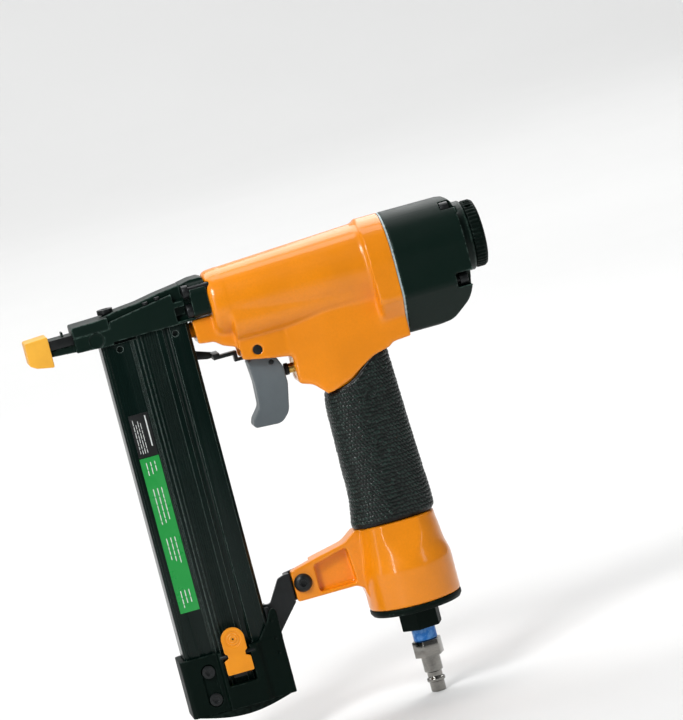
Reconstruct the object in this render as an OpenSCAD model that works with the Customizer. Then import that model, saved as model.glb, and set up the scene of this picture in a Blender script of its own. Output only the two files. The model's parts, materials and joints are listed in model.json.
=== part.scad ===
// Pneumatic brad nailer. The drive axis is X, and the brads leave towards -X.
// The origin is on that axis, at the front face of the no-mar tip.

/* [Barrel and cap] */
// Radius of the barrel at its front
barrel_front_r = 18.8; // [18.6:0.1:19.2]
// Radius of the barrel where it meets the rear flange
barrel_rear_r = 22; // [21.6:0.1:22.4]
// Radius of the round top of the rear flange and the cap
flange_r = 24.2; // [24:0.1:24.6]
// Outer radius of the cylinder sleeve
sleeve_r = 15.5; // [15.2:0.1:15.5]
// Inner radius of the cylinder sleeve
bore_r = 13.5; // [13.4:0.1:13.7]

/* [Nose] */
// How far the contact trip is pushed in
trip_travel = 7; // [5:0.5:7]
// Half-width of the nose panel
panel_half = 12; // [11.8:0.1:12.2]
// Half-width of the brad channel
channel_half = 3.1; // [3:0.1:3.2]

/* [Magazine] */
// Half-width of the magazine
magazine_half = 10; // [9.9:0.1:10]
// Lowest point of the magazine rail
rail_bottom = -196; // [-196:1:-194]
// Brads in front of the pusher
brads = 5; // [1:1:5]

/* [Handle] */
// Radius of the bell at the bottom of the handle
bell_r = 24.65; // [24.2:0.05:25]
// Half-width of the rubber grip
grip_half = 17; // [16.5:0.1:17.5]
// Width across the flats of the air plug
plug_flats = 14; // [13:0.5:15]

/* [Hidden] */
$fn = 48;

// Colours
orange = "#f39616";
tip_orange = "#fbb440";
dark_green = "#12261f";
soft_black = "#18241f";
steel = "#b4b6b8";
black = "#101214";
trigger_grey = "#6d767a";
brass = "#c8a85a";

// Stations along the drive axis
housing_front = 98.5;
bracket_front = 107.8;
sleeve_front = 107.6;
flange_front = 183.5;
housing_rear = 196;
cap_front = 197;
sleeve_rear = 207;
cap_wall = 226.5;
cap_rear = 235;
collar_rear = 240;
piston_front = 199;
nose_tip = 12.3;
block_front = 25.3;
panel_front = 45;
panel_rear = 85.6;

// Places of the pins, each as [x, z]
trigger_pivot = [116.6, -27.8];
lever_pivot = [122.4, -36.4];
bracket_bolt = [108.9, -153.2];
valve_z = -43;
handle_x = 164.85;
latch_x = 64.7;
latch_pin_y = -14.6;
latch_pin_z = -178.8;
latch_pad_z = -170.4;
rail_screw_z = -10;

// Cap screws and nose bolts, each as [y, z]
cap_screw_places = [[-11.8, 17.6], [11.8, 17.6], [-17.8, -19.4], [17.8, -19.4]];
nose_bolt_places = [[-10.5, 11.2], [10.5, 11.2], [-10.5, 1], [10.5, 1]];
// Magazine end cap screws and strap rivets, as [x, z] and [y, z]
end_screw_places = [[48.4, -184.5], [48.6, -199.5]];
rivet_places = [[3.4, -164.6], [3.4, -171.4]];

function unit(v) = v / norm(v);

// The arc that rounds corner p between its neighbours a and b
function corner_arc(a, p, b, r, n) =
    let (u = unit(a - p), v = unit(b - p), half = acos(u * v) / 2)
    let (centre = p + unit(u + v) * r / sin(half))
    let (from = p + u * r / tan(half) - centre, to = p + v * r / tan(half) - centre)
    let (start = atan2(from[1], from[0]), turn = (atan2(to[1], to[0]) - start + 540) % 360 - 180)
    [for (i = [0 : n]) centre + r * [cos(start + turn * i / n), sin(start + turn * i / n)]];

// An outline with some corners rounded: a corner is [x, y] or [x, y, radius]
function rounded(corners, n = 6) = [for (i = [0 : len(corners) - 1])
    let (a = corners[(i + len(corners) - 1) % len(corners)])
    let (p = corners[i], b = corners[(i + 1) % len(corners)])
    each len(p) < 3 ? [p] : corner_arc([a[0], a[1]], [p[0], p[1]], [b[0], b[1]], p[2], n)];

// Solids along each axis
module plate_y(y0, y1) translate([0, y1, 0]) rotate([90, 0, 0]) linear_extrude(y1 - y0) children();
module bar_x(x0, x1) translate([x0, 0, 0]) rotate([90, 0, 90]) linear_extrude(x1 - x0) children();
module bar_z(z0, z1) translate([0, 0, z0]) linear_extrude(z1 - z0) children();
module rod_x(r, x0, x1, y = 0, z = 0) translate([x0, y, z]) rotate([0, 90, 0]) cylinder(r = r, h = x1 - x0);
module rod_y(r, y0, y1, x = 0, z = 0) translate([x, y0, z]) rotate([-90, 0, 0])
    cylinder(r = r, h = y1 - y0);
module rod_z(r, z0, z1, x = 0, y = 0) translate([x, y, z0]) cylinder(r = r, h = z1 - z0);
module block(x, y, z) translate([x[0], y[0], z[0]]) cube([x[1] - x[0], y[1] - y[0], z[1] - z[0]]);

// Turned about the drive axis: the outline's points are [x, radius]
module turned_x(points) rotate([0, 90, 0]) rotate_extrude() polygon([for (p = points) [p[1], p[0]]]);
// Turned about the handle's axis: the outline's points are [radius, z]
module turned_z(points) translate([handle_x, 0, 0]) rotate_extrude() polygon(points);
// A ring of round section about the drive axis
module o_ring(r, thick, x) translate([x, 0, 0]) rotate([0, 90, 0])
    rotate_extrude() translate([r, 0]) circle(r = thick, $fn = 20);

// A round-wire spring along +Z from z = 0
module coil(r, wire, length, turns) {
    sides = 5;
    steps = 12;
    n = turns * steps;
    polyhedron(
        points = [for (i = [0 : n], j = [0 : sides - 1])
            let (a = 360 * i / steps, t = 360 * j / sides, z = wire + (length - 2 * wire) * i / n)
            [(r + wire * cos(t)) * cos(a), (r + wire * cos(t)) * sin(a), z + wire * sin(t)]],
        faces = concat(
            [[for (j = [sides - 1 : -1 : 0]) j]],
            [[for (j = [0 : sides - 1]) n * sides + j]],
            [for (i = [0 : n - 1], j = [0 : sides - 1])
                let (a = i * sides + j, b = i * sides + (j + 1) % sides)
                each [[a, b, b + sides], [a, b + sides, a + sides]]]));
}
module coil_x(r, wire, x0, x1, turns, y = 0, z = 0)
    translate([x0, y, z]) rotate([0, 90, 0]) coil(r, wire, x1 - x0, turns);

// The rear flange's outline in Y and Z, with every side moved in by inset
module rear_outline(inset = 0) {
    side = flange_r - inset;
    chamfer_z = -20.5 + 0.41 * inset;
    bottom = -41.5 + inset;
    translate([0, -0.5]) circle(r = side, $fn = 96);
    polygon(rounded([[side, -0.5], [-side, -0.5], [-side, chamfer_z, 5], [-6, bottom, 5],
        [6, bottom, 5], [side, chamfer_z, 5]]));
}
// The air passage from the handle, low in the flange
module passage_outline() polygon(rounded([[-11, -37, 3], [11, -37, 3], [11, -12], [-11, -12]]));

// Housing: barrel, handle core, trigger bracket and the bell at the bottom of the handle
module barrel() turned_x([[housing_front, 0], [housing_front, 16.4], [99.4, 17.7], [101.5, 18.4],
    [107.2, barrel_front_r], [107.5, barrel_front_r - 0.2], [181, barrel_rear_r], [184.5, 23.5],
        [190, 23.5],
    [190, 0]]);
module lug_outline() polygon(rounded([[87.3, -4.3, 0.8], [104, -4.3], [112, -10], [112, -26],
    [107.8, -26], [106, -23.5, 3], [100, -21.3, 3], [96, -18, 3], [87.9, -17, 0.8]]));
module bracket_outline() polygon(rounded([[bracket_front, -12], [bracket_front, -31, 1.5],
    [120, -33.5], [133.5, -36, 1],
    [133.3, -51, 1.5], [140.3, -53.2, 6], [145.6, -58, 4], [150, -58], [150, -12]]));
module neck_outline() polygon(rounded([[133.5, -12], [133.4, -51, 1.5], [140.3, -53.2, 6],
    [145.8, -58.8, 2], [146.4, -59.7], [151, -58.7], [160, -55.3], [167, -50.7], [175, -46.3],
        [183.7, -44.3],
    [186.5, -42.3, 3], [196, -41.5], [196, -12]]));
module neck_section() polygon(rounded([[126, -12.1], [134, -12.4, 30], [154, -15.8, 30], [200, -15.8, 4],
    [200, 15.8, 4], [154, 15.8, 30], [134, 12.4, 30], [126, 12.1]]));
// The barrel is deeper than it is round: its underside runs straight, parallel to the axis
module keel_section() polygon(rounded([[-18.4, -0.2], [-18.4, -21.6, 12], [18.4, -21.6, 12],
    [18.4, -0.2]], 10));
module core_section() polygon(rounded([[147.6, -14, 11], [181.9, -14, 11], [181.9, 14, 11],
    [147.6, 14, 11]]));
module bell_sides() polygon([[-18.4, -134], [18.4, -134], [19.6, -142], [25, -157.5], [30, -179],
    [-30, -179], [-25, -157.5], [-19.6, -142]]);
module arm_outline() polygon(rounded([[104, -146, 1.2], [116, -143], [135, -139, 12], [141.5, -134.3],
    [150, -134.3], [150, -170], [140.6, -170], [139.6, -164.6], [136, -162.6, 4], [104, -162.6, 1.2]]));
module arm_pocket() polygon(rounded([[116.6, -146, 1.2], [135.6, -141.4, 1.6], [137, -160.6, 1.6],
    [116.6, -160.6, 1.2]]));

module housing_body() {
    barrel();
    bar_x(bracket_front - 0.4, flange_front + 2) keel_section();
    bar_x(flange_front, housing_rear) rear_outline();
    plate_y(-10.2, 10.2) lug_outline();
    rod_x(4, 85.45, 90, z = rail_screw_z);
    plate_y(-12, 12) bracket_outline();
    intersection() {
        plate_y(-16, 16) neck_outline();
        bar_z(-70, -10) neck_section();
    }
    bar_z(-138, -50) core_section();
    intersection() {
        turned_z([[0, -134], [20.9, -134], [22, -143], [22.9, -151], [24.2, -156], [bell_r, -158.5],
            [bell_r, -178], [24.2, -178.5], [0, -178.5]]);
        bar_x(130, 200) bell_sides();
    }
    plate_y(-7, 7) arm_outline();
}

module housing() color(orange) difference() {
    housing_body();
    rod_x(4.5, 98, 108);
    rod_x(sleeve_r + 0.1, 107.5, 120);
    rod_x(17, 110.2, 111.8);
    rod_x(17, 119, housing_rear + 1);
    rod_z(11.5, -179, -12, handle_x);
    rod_z(16.1, -179, -168, handle_x);
    bar_x(158, housing_rear + 1) passage_outline();
    block([106, 133.4], [-8, 8], [-60, -23.2]);
    rod_y(2.52, -13, 13, trigger_pivot[0], trigger_pivot[1]);
    rod_x(5.1, 133, 156, z = valve_z);
    rod_x(2.02, 85, 97, z = rail_screw_z);
    for (p = nose_bolt_places) rod_x(2.42, 98, 106, p[0], p[1]);
    for (p = cap_screw_places) rod_x(2.02, 185.5, 197, p[0], p[1]);
    // The arm's end is cut back for the strap and nut, and its two sides are pocketed
    block([100, 115.6], [0, 8], [-164, -140]);
    rod_y(2.6, -8, 8, bracket_bolt[0], bracket_bolt[1]);
    plate_y(-8, -2) arm_pocket();
    plate_y(2, 8) arm_pocket();
}

// Cap and exhaust
module cap_outline() polygon(rounded([[196.9, 26], [228, 26], [228, 23.4, 2], [232.5, 22.6, 2],
    [235, 19.6, 2],
    [235, -19, 6], [231.5, -31, 14], [221.5, -40.3, 10], [210, -42], [196.9, -42]]));

module cylinder_cap() color(dark_green) difference() {
    union() {
        intersection() {
            bar_x(cap_front, cap_rear) rear_outline();
            plate_y(-30, 30) cap_outline();
        }
        turned_x([[230, 0], [230, 18.7], [239.2, 18.7], [collar_rear, 17.9], [collar_rear, 0]]);
    }
    rod_x(17.2, 196, cap_wall);
    bar_x(196, 216) passage_outline();
    rod_x(2.02, 220, 241);
    for (a = [45 : 90 : 315]) rod_x(2.6, 220, 241, 10 * cos(a), 10 * sin(a));
    for (x = [236, 237.6]) translate([x, 0, 0]) rotate([0, 90, 0]) difference() {
        cylinder(r = 20, h = 0.7);
        translate([0, 0, -1]) cylinder(r = 18.1, h = 3);
    }
    for (p = cap_screw_places) {
        rod_x(2.1, 196, 236, p[0], p[1]);
        rod_x(4.1, 227.6, 236, p[0], p[1]);
    }
    // The lower screws' pockets are open at the sides
    for (y = [[-30, -18.5], [18.5, 30]]) block([225.6, 236], y, [-23.2, -15.6]);
}

module cap_gasket() color("#96aaaa") bar_x(housing_rear + 0.05, cap_front - 0.05) difference() {
    rear_outline(0.1);
    circle(r = 17.2);
    passage_outline();
    for (p = cap_screw_places) translate(p) circle(r = 2.1);
}

// A socket-head screw along X: shank from x0 to x1, head after it
module socket_screw_x(p, r, head_r, x0, x1, head) difference() {
    union() {
        rod_x(r, x0, x1 + 0.1, p[0], p[1]);
        rod_x(head_r, x1, x1 + head, p[0], p[1]);
    }
    translate([x1 + head - 1.8, p[0], p[1]]) rotate([0, 90, 0]) cylinder(r = head_r * 0.52, h = 3, $fn = 6);
}
module cap_screws() color(black) for (p = cap_screw_places) socket_screw_x(p, 2, 3.5, 186, 227.7, 4.4);

// Cylinder and driver
module cylinder_sleeve() color(steel) difference() {
    rod_x(sleeve_r, sleeve_front, sleeve_rear);
    rod_x(bore_r, sleeve_front - 1, sleeve_rear + 1);
    for (a = [0 : 60 : 150]) rotate([a, 0, 0]) rod_y(1.2, -20, 20, 123);
}
module cylinder_seals() color(black) {
    o_ring(16.25, 0.7, 111);
    o_ring(16.25, 0.7, 190);
}
module piston_bumper() color("#202020") turned_x([[107.9, 3.6], [107.9, 13.2], [112, 13.3], [117.2, 11.8],
    [117.2, 4.4], [115, 3.6]]);
module piston() color(steel) difference() {
    turned_x([[piston_front, 0], [piston_front, 13.2], [201, 13.2], [201, 12.2], [203, 12.2], [203, 13.2],
        [205, 13.2], [205, 9], [204, 8], [204, 0]]);
    block([198, 203.1], [-2.85, 2.85], [-0.65, 0.65]);
}
module piston_ring() color(black) turned_x([[201.1, 12.25], [201.1, 13.44], [202.9, 13.44],
    [202.9, 12.25]]);
module driver_blade() color(steel) block([88, 203], [-2.8, 2.8], [-0.6, 0.6]);
module head_valve() color("#3a3f42") turned_x([[209.5, 6.2], [209.5, 17.05], [211.5, 17.05], [211.5, 16.4],
    [213.5, 16.4], [213.5, 17.05], [217, 17.05], [217, 15.4], [214, 14.6], [214, 8.6], [217, 8],
        [217, 6.2]]);
module head_valve_seal() color(black) turned_x([[207.4, 6.6], [207.4, 16], [209.4, 16.4], [209.4, 6.2]]);
module head_valve_spring() color(steel) coil_x(11.8, 0.8, 214.1, 226.3, 4);

// The knob turns on the cap, and blows the exhaust out through the slots in its rim
module exhaust_deflector() color(soft_black) difference() {
    turned_x([[240.3, 2.3], [240.3, 17.4], [241, 18], [244.8, 18], [246.4, 17], [247.2, 14.5], [247.2, 6],
        [246.6, 4.6], [243.6, 4.6], [243.6, 2.3]]);
    turned_x([[240, 6.5], [240, 15.5], [245.2, 15.5], [245.2, 6.5]]);
    for (i = [0 : 47]) rotate([i * 7.5, 0, 0]) rod_x(0.75, 240, 247.5, 18.2);
    for (i = [0 : 4]) rotate([i * 15 - 30, 0, 0]) block([241.4, 244.4], [-1.1, 1.1], [10, 19]);
}
module deflector_screw() color(steel) socket_screw_x([0, 0], 2, 4.2, 228, 243.7, 2.6);

// Nose: the body and the cover hold the driver's channel between them
module driver_channel() block([nose_tip - 1, 99], [-channel_half, channel_half], [-0.9, 0.9]);
// Slots for the contact foot's strips, and on the far side for the arm that leads back from it
module trip_slots() {
    block([20, 42], [-7.65, -6.05], [-0.5, 5.1]);
    block([20, 58], [6.05, 7.65], [-0.5, 5.1]);
    block([43.5, 56.6 + trip_travel], [6.05, 16], [-0.5, 5.1]);
    block([43.5, 72], [10.3, 16], [-6, 5.1]);
}
module panel_outline() polygon(rounded([[panel_front, -4], [panel_front, 6.5, 1], [60, 9, 4], [70, 10.5, 4],
    [panel_rear, 13], [panel_rear, -4]]));
module nose_body() color(soft_black) difference() {
    union() {
        plate_y(-6, 6) polygon([[nose_tip, -0.4], [nose_tip, -3.8], [36, -5.3], [panel_front, -5.3],
            [panel_front, -0.4]]);
        plate_y(-panel_half, panel_half) polygon(rounded([[block_front, -4.7], [42, -5.3],
            [panel_front, -5.3],
            [panel_front, 3.1], [block_front, 3.1]]));
        block([panel_front, 89.5], [-panel_half, panel_half], [-4, -0.4]);
        for (y = [-panel_half, 8]) plate_y(y, y + panel_half - 8) panel_outline();
        // Rear block and its flange against the housing
        plate_y(-9, 9) polygon(rounded([[panel_rear, -4], [98.4, -3], [98.4, 15.9], [97, 16.8, 0.6],
            [92, 16.8, 2],
            [panel_rear, 15.6]]));
        bar_x(89.2, 98.4) polygon(rounded([[-14.5, -3, 3], [14.5, -3, 3], [14.5, 11, 5],
            [8, 16.3, 5], [-8, 16.3, 5],
            [-14.5, 11, 5]]));
    }
    // The cover's place
    block([10, panel_front + 0.1], [-6.05, 6.05], [-0.35, 20]);
    block([panel_front, panel_rear], [-8, 8], [-0.35, 20]);
    driver_channel();
    trip_slots();
    // Feed slot above the magazine, and the trip spring's pocket
    block([41, 83], [-3.4, 3.4], [-7, 0]);
    rod_x(2, 56 + trip_travel, 80.5, 9.8, 2.2);
    rod_y(4, -14, -11.2, 36.8, -1);
    for (p = nose_bolt_places) {
        rod_x(2.5, 80, 99, p[0], p[1]);
        rod_x(3.9, 80, 89.4, p[0], p[1]);
    }
}
module nose_cover() color(dark_green) difference() {
    union() {
        block([nose_tip, 42], [-5.95, 5.95], [-0.3, 4.7]);
        block([20, 21.2], [-3, 3], [4.6, 7.3]);
        plate_y(-panel_half, panel_half) polygon(rounded([[block_front, 3.2], [block_front, 8.7, 1],
            [44.8, 9.1], [44.8, 3.2]]));
        block([40, 50], [-5.95, 5.95], [-0.3, 9]);
        plate_y(-7.9, 7.9) polygon(rounded([[panel_front + 0.2, -0.3], [panel_front + 0.2, 3.2],
            [40, 3.2], [40, 9],
            [50, 10.9], [62, 12, 10], [72, 13.8], [panel_rear - 0.1, 15.6], [panel_rear - 0.1, -0.3]]));
    }
    driver_channel();
    trip_slots();
    rod_z(2.1, -1, 14, 45.5);
    rod_z(4.3, 10.25, 14, 45.5);
}
module nose_cover_screws() color(black) {
    difference() {
        union() {
            rod_z(2.05, 1, 10.4, 45.5);
            rod_z(4.2, 10.3, 12.8, 45.5);
        }
        rod_z(2, 11.4, 14, 45.5);
    }
    for (s = [-1, 1], p = [[66, 10.25], [72.5, 11.25]]) rod_z(1.5, p[1], p[1] + 1.4, p[0], s * 10);
}
module nose_bolts() color(steel) for (p = nose_bolt_places) {
    rod_x(2.4, 89, 105, p[0], p[1]);
    rod_x(3.6, 86, 89.3, p[0], p[1]);
}

// Contact trip: the foot reaches the work, and the arm leads back to the trigger
module contact_foot() color(steel) difference() {
    union() {
        block([2.2, 4.7], [-7.35, 7.35], [-0.2, 4.8]);
        block([2.2, 34], [-7.35, -6.35], [-0.2, 4.8]);
        block([2.2, 50], [6.35, 7.35], [-0.2, 4.8]);
    }
    block([2, 5], [-3.2, 3.2], [-1, 1]);
}
module contact_arm() color(black) {
    block([44, 56], [7.4, 12.4], [-0.2, 4.8]);
    plate_y(10.6, 12.4) polygon([[44, 4.8], [56, 4.8], [56, -4.6], [74, -20.3], [85, -21.8], [95, -25.2],
        [97.5, -25.2], [97.5, -28.2], [92, -28.2], [84, -26.6], [68, -25], [46, -5], [44, 0]]);
    block([94, 97.5], [-3, 12.4], [-28.2, -25.2]);
    block([94, 106.5], [-3, 3], [-28.2, -26.4]);
    block([104.5, 106.5], [-3, 3], [-31.8, -26.4]);
    block([104.5, 111], [-3, 3], [-31.8, -30.6]);
}
module contact_trip_spring() color(steel) coil_x(1.35, 0.3, 56.1, 80.4, 10, 9.8, 2.2);
module no_mar_tip() color(tip_orange) difference() {
    plate_y(-8.8, 8.8) polygon(rounded([[0, 6.9, 0.8], [0, -5.2, 1], [3.6, -7.3, 1], [12.5, -9, 0.8],
        [12.5, 7.5, 0.8]]));
    block([2.1, 13], [-7.5, 7.5], [-5.7, 5.3]);
    block([-1, 3], [-3.4, 3.4], [-1.1, 1.1]);
}

// Trigger: a shell open behind, on its pin; the trip lever turns inside it
module trigger_side() polygon(rounded([[112.4, -23.7, 4], [112.4, -33], [110.3, -33.3, 0.6],
    [111.2, -45, 20],
    [110.6, -58, 6], [106, -63.5, 6], [104.6, -68, 1.8], [120, -68.9, 6], [125, -64, 8], [128.2, -49, 8],
    [127.8, -40, 2.5], [125.8, -35.2, 1], [120.8, -32], [120.8, -23.7, 4]]));
module trigger() color(trigger_grey) difference() {
    plate_y(-7, 7) trigger_side();
    plate_y(-4.7, 4.7) polygon(rounded([[104, -20], [104, -32.4], [113.4, -33.2], [114.2, -45, 20],
        [113.8, -56, 6], [111.8, -63, 2], [113, -66.2, 1], [119, -66.2, 3], [132, -62], [132, -20]]));
    rod_y(2.56, -8, 8, trigger_pivot[0], trigger_pivot[1]);
    rod_y(1.32, -8, 8, lever_pivot[0], lever_pivot[1]);
}
module trigger_pin() color(black) rod_y(2.5, -12, 12, trigger_pivot[0], trigger_pivot[1]);
module lever_pin() color(black) rod_y(1.3, -7, 7, lever_pivot[0], lever_pivot[1]);
module trip_lever() color(steel) plate_y(-2.6, 2.6) difference() {
    polygon(rounded([[114.9, -34.6, 0.6], [122, -33.6, 2], [124.8, -34.3, 1.5], [127.7, -41.4, 0.6],
        [127.7, -44, 0.6], [125.6, -44.2, 0.6], [120.6, -39.2, 1.5], [114.9, -36.8, 0.6]]));
    translate(lever_pivot) circle(r = 1.36);
}

// Trigger valve
module valve_stem() color(brass) {
    rod_x(2.6, 130.95, 138.1, z = valve_z);
    rod_x(1.5, 138, 144.1, z = valve_z);
    rod_x(3.2, 144, 146, z = valve_z);
}
module stem_button() color(black) rod_x(3.2, 128.7, 130.9, z = valve_z);
module valve_bush() color(brass) difference() {
    rod_x(5.05, 133.7, 152.6, z = valve_z);
    rod_x(2.68, 133, 141.6, z = valve_z);
    rod_x(1.6, 141, 144, z = valve_z);
    rod_x(3.4, 143, 151.6, z = valve_z);
    rod_x(1.5, 151, 153, z = valve_z);
    for (x = [137, 147.4]) translate([x, 0, valve_z]) rotate([0, 90, 0]) difference() {
        cylinder(r = 6, h = 1);
        translate([0, 0, -1]) cylinder(r = 4.2, h = 3);
    }
}
module valve_seals() color(black) for (x = [137.5, 147.9]) translate([x, 0, valve_z])
    rotate([0, 90, 0]) rotate_extrude() translate([4.65, 0]) circle(r = 0.42, $fn = 20);
module valve_spring() color(steel) coil_x(2.4, 0.35, 146.1, 151.5, 4, z = valve_z);

// Handle: rubber grip, end cap and air plug
module grip_section() polygon(rounded([[141, -grip_half, 14], [188, -grip_half, 14], [188, grip_half, 14],
    [141, grip_half, 14]], 10));
module grip_side() polygon(rounded([[146.2, -60, 0.8], [151, -59], [160, -55.6], [167, -51], [175, -46.6],
    [183.6, -44.6, 0.8], [184.6, -70], [187.3, -128, 6], [185.6, -134], [141.2, -134], [143.7, -122, 10],
    [144.6, -80, 40], [144.8, -66, 3]]));
module grip_sleeve() color(soft_black) difference() {
    intersection() {
        bar_z(-134, -40) grip_section();
        plate_y(-20, 20) grip_side();
    }
    bar_z(-136, -38) polygon(rounded([[147.5, -14.1, 11], [182, -14.1, 11], [182, 14.1, 11],
        [147.5, 14.1, 11]]));
}
module handle_end_cap() color(soft_black) difference() {
    union() {
        turned_z([[0, -168.4], [15.9, -168.4], [15.9, -170.6], [15.1, -171], [15.1, -172.6], [15.9, -173],
            [15.9, -178.6], [24.7, -178.6], [24.7, -180.6], [23.6, -182.3], [0, -182.3]]);
        translate([handle_x, 0, -193.8]) rotate([0, 0, 14]) cylinder(r = 11.5, h = 12, $fn = 6);
    }
    rod_z(5.02, -195, -186, handle_x);
    rod_z(4, -190, -167, handle_x);
}
module end_cap_seal() color(black) translate([handle_x, 0, -171.8]) rotate_extrude()
    translate([15.6, 0]) circle(r = 0.45, $fn = 20);
module thread_seal() color("#1969b9") turned_z([[5.05, -193.9], [6.35, -194.2], [6.35, -200.6],
    [5.05, -200.9]]);
module air_plug() color(steel) difference() {
    union() {
        rod_z(5, -201.1, -187, handle_x);
        translate([handle_x, 0, -209.7]) rotate([0, 0, 8])
            cylinder(r = plug_flats / sqrt(3), h = 8.7, $fn = 6);
        turned_z([[0, -209.6], [5, -209.6], [5, -218], [4, -218.6], [4, -221.5], [4.9, -222], [4.9, -223.5],
            [4, -224], [4, -228.8], [3.5, -229.3], [0, -229.3]]);
    }
    rod_z(2.5, -230, -186, handle_x);
}

// Magazine: the rail is fixed, and the door slides down off it with the end cap
rib_edge = [for (i = [0 : 4], p = [[0, -9.5], [0.35, -9.9], [0.75, -9.9],
    [1.1, -9.5]]) [61.2 + 1.25 * i + p[0], p[1]]];
module rail_section() polygon(concat([[42, -3.6], [42, -7.7], [57.3, -7.7], [57.3, -10],
    [59.2, -10], [59.6, -9.5]],
    rib_edge, [[67.6, -9.5], [68, -10], [71, -10], [71.6, -9], [72.6, -8.6], [73.6, -8.6],
        [74.4, -9], [75, -10],
    [83.6, -10], [85.3, -8.4], [85.3, 8.4], [83.6, magazine_half], [57.5, magazine_half],
        [57.5, 8.1], [59.6, 8.1],
    [59.6, 5.9], [57.5, 5.9], [57.5, 3.6], [82.8, 3.6], [82.8, -3.6]]));
module magazine_rail() color(dark_green) difference() {
    bar_z(rail_bottom, -4.2) rail_section();
    block([41, panel_front + 0.2], [-9, -3], [-5.5, -4]);
    rod_x(2.02, 80, 88, z = rail_screw_z);
    rod_x(3.5, 80, 84, z = rail_screw_z);
    rod_y(1.7, -11, -8, 77.4, -8.4);
    for (p = rivet_places) rod_x(1.52, 80, 88, p[0], p[1]);
}
module rail_screw() color(steel) {
    rod_x(2, 83.9, 96, z = rail_screw_z);
    rod_x(3.4, 83, 84, z = rail_screw_z);
}
module door_section() polygon([[57, -8], [40.8, -8], [40.8, 3.6], [57.2, 3.6], [57.2, 6.2],
    [59.2, 6.2], [59.2, 7.8],
    [57.2, 7.8], [57.2, magazine_half], [39, magazine_half], [38, 9], [38, -9], [39, -10],
        [40.3, -10], [40.7, -9.7],
    [53.3, -9.7], [53.6, -10], [54.2, -10], [54.4, -9.4], [54.9, -9.4], [55.1, -10], [57, -10]]);
module magazine_door() color(dark_green) difference() {
    bar_z(-204.8, -5.6) door_section();
    rod_y(1.7, -11, -7.9, 47.4, -8.8);
    for (p = end_screw_places) rod_y(1.62, -11, -7, p[0], p[1]);
}
module name_label() color(black) block([42.3, 52.7], [-9.88, -9.7], [-66.8, -43.8]);
module size_label() color("#149640") block([42.3, 52.7], [-9.88, -9.7], [-151.3, -67.2]);

// Pusher, its spring, and the brads it feeds
pusher_top = -8.3;
module pusher() color(steel) difference() {
    block([42.4, 81], [-3.2, 3.2], [-33, pusher_top]);
    block([48, 76], [-4, 4], [-30, -14]);
}
module pusher_spring() color(steel) translate([52, 0, -175]) coil(2.6, 0.4, 141.9, 24);
module brad_strip() color(brass) for (i = [0 : brads - 1]) rod_x(0.6, 43, 80.5, z = -1.65 - 1.35 * i);

// End cap of the magazine, its latch and its pad
module end_cap_section() polygon(rounded([[34.8, -12.5, 2.5], [54.6, -12.5], [55.2, -15.8, 0.6],
    [76, -15.8, 2],
    [79, -13.2, 2], [90.9, -12.8, 1.5], [90.9, 12.5, 2.5], [34.8, 12.5, 2.5]]));
module magazine_end_cap() color(soft_black) difference() {
    union() {
        bar_z(-207, -175.8) end_cap_section();
        plate_y(-12.8, -10.5) polygon(rounded([[74, -177], [78, -175.8, 3], [84.5, -167.4, 4],
            [87.4, -161.6, 1.2],
            [89.6, -160.6, 1.2], [90.9, -163, 1], [90.9, -177]]));
    }
    // Room for the rail, the door and the latch
    block([57.2, 85.7], [-10.4, 10.3], [-196.6, -170]);
    block([37.9, 57.3], [-10.1, 10.1], [-204.9, -170]);
    block([57.2, 59.5], [5.9, 8.1], [-204.9, -190]);
    block([57.2, 72.2], [-17, -10], [-194.6, -170]);
    block([44.8, 52.2], [-13, -11.4], [-199.5, -184.5]);
    for (p = end_screw_places) rod_y(3.9, -13, -11.4, p[0], p[1]);
    block([86.4, 90], [-9.8, 9.8], [-205, -170]);
    rod_x(1.12, 55.8, 74.8, latch_pin_y, latch_pin_z);
    for (p = end_screw_places) rod_y(1.62, -13, -9, p[0], p[1]);
    for (z = [-167, -176.5, -184.4]) rod_y(0.9, -14, -12.2, 87, z);
}
module base_pad() color("#202020") plate_y(-12.2, 12.2) polygon([for (i = [0 : 24])
    [38 + 50 * i / 24, -207.1 - 4.4 * sin(180 * i / 24)]]);
module end_cap_screws() color(black) for (p = end_screw_places) difference() {
    union() {
        rod_y(1.6, -11.6, -8.1, p[0], p[1]);
        rod_y(3.4, -13.1, -11.42, p[0], p[1]);
    }
    translate([p[0], -13.6, p[1]]) rotate([-90, 0, 0]) cylinder(r = 1.7, h = 1.4, $fn = 6);
}
module latch_pad_outline() {
    translate([latch_x, latch_pad_z]) circle(r = 6.2);
    polygon(rounded([[58.6, -170.4], [70.8, -170.4], [70.8, -177, 0.8], [69.4, -178, 0.6],
        [69.4, -180, 0.6],
        [71.8, -181, 0.8], [71.8, -188.7, 0.8], [57.6, -188.7, 0.8], [57.6, -181, 0.8], [60, -180, 0.6],
        [60, -178, 0.6], [58.6, -177, 0.8]]));
}
module latch() color(orange) difference() {
    union() {
        plate_y(-17, -14.9) latch_pad_outline();
        rod_x(1.9, 60, 69.4, latch_pin_y, latch_pin_z);
        block([58.4, 71], [-15, -13.4], [-188.6, -181.4]);
        block([61, 68.4], [-14, -11.6], [-188.4, -186.6]);
    }
    rod_x(1.16, 55, 75, latch_pin_y, latch_pin_z);
    rod_y(4.3, -18, -16.6, latch_x, latch_pad_z);
}
module latch_pin() color(black) rod_x(1.1, 55.9, 74.7, latch_pin_y, latch_pin_z);
module latch_spring() color(steel) translate([latch_x, -14.8, latch_pad_z]) rotate([-90, 0, 0])
    coil(1.9, 0.25, 3.1, 3);
module latch_strike() color(steel) {
    block([61, 68], [-11.3, -10.05], [-191.5, -189.2]);
}

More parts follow.
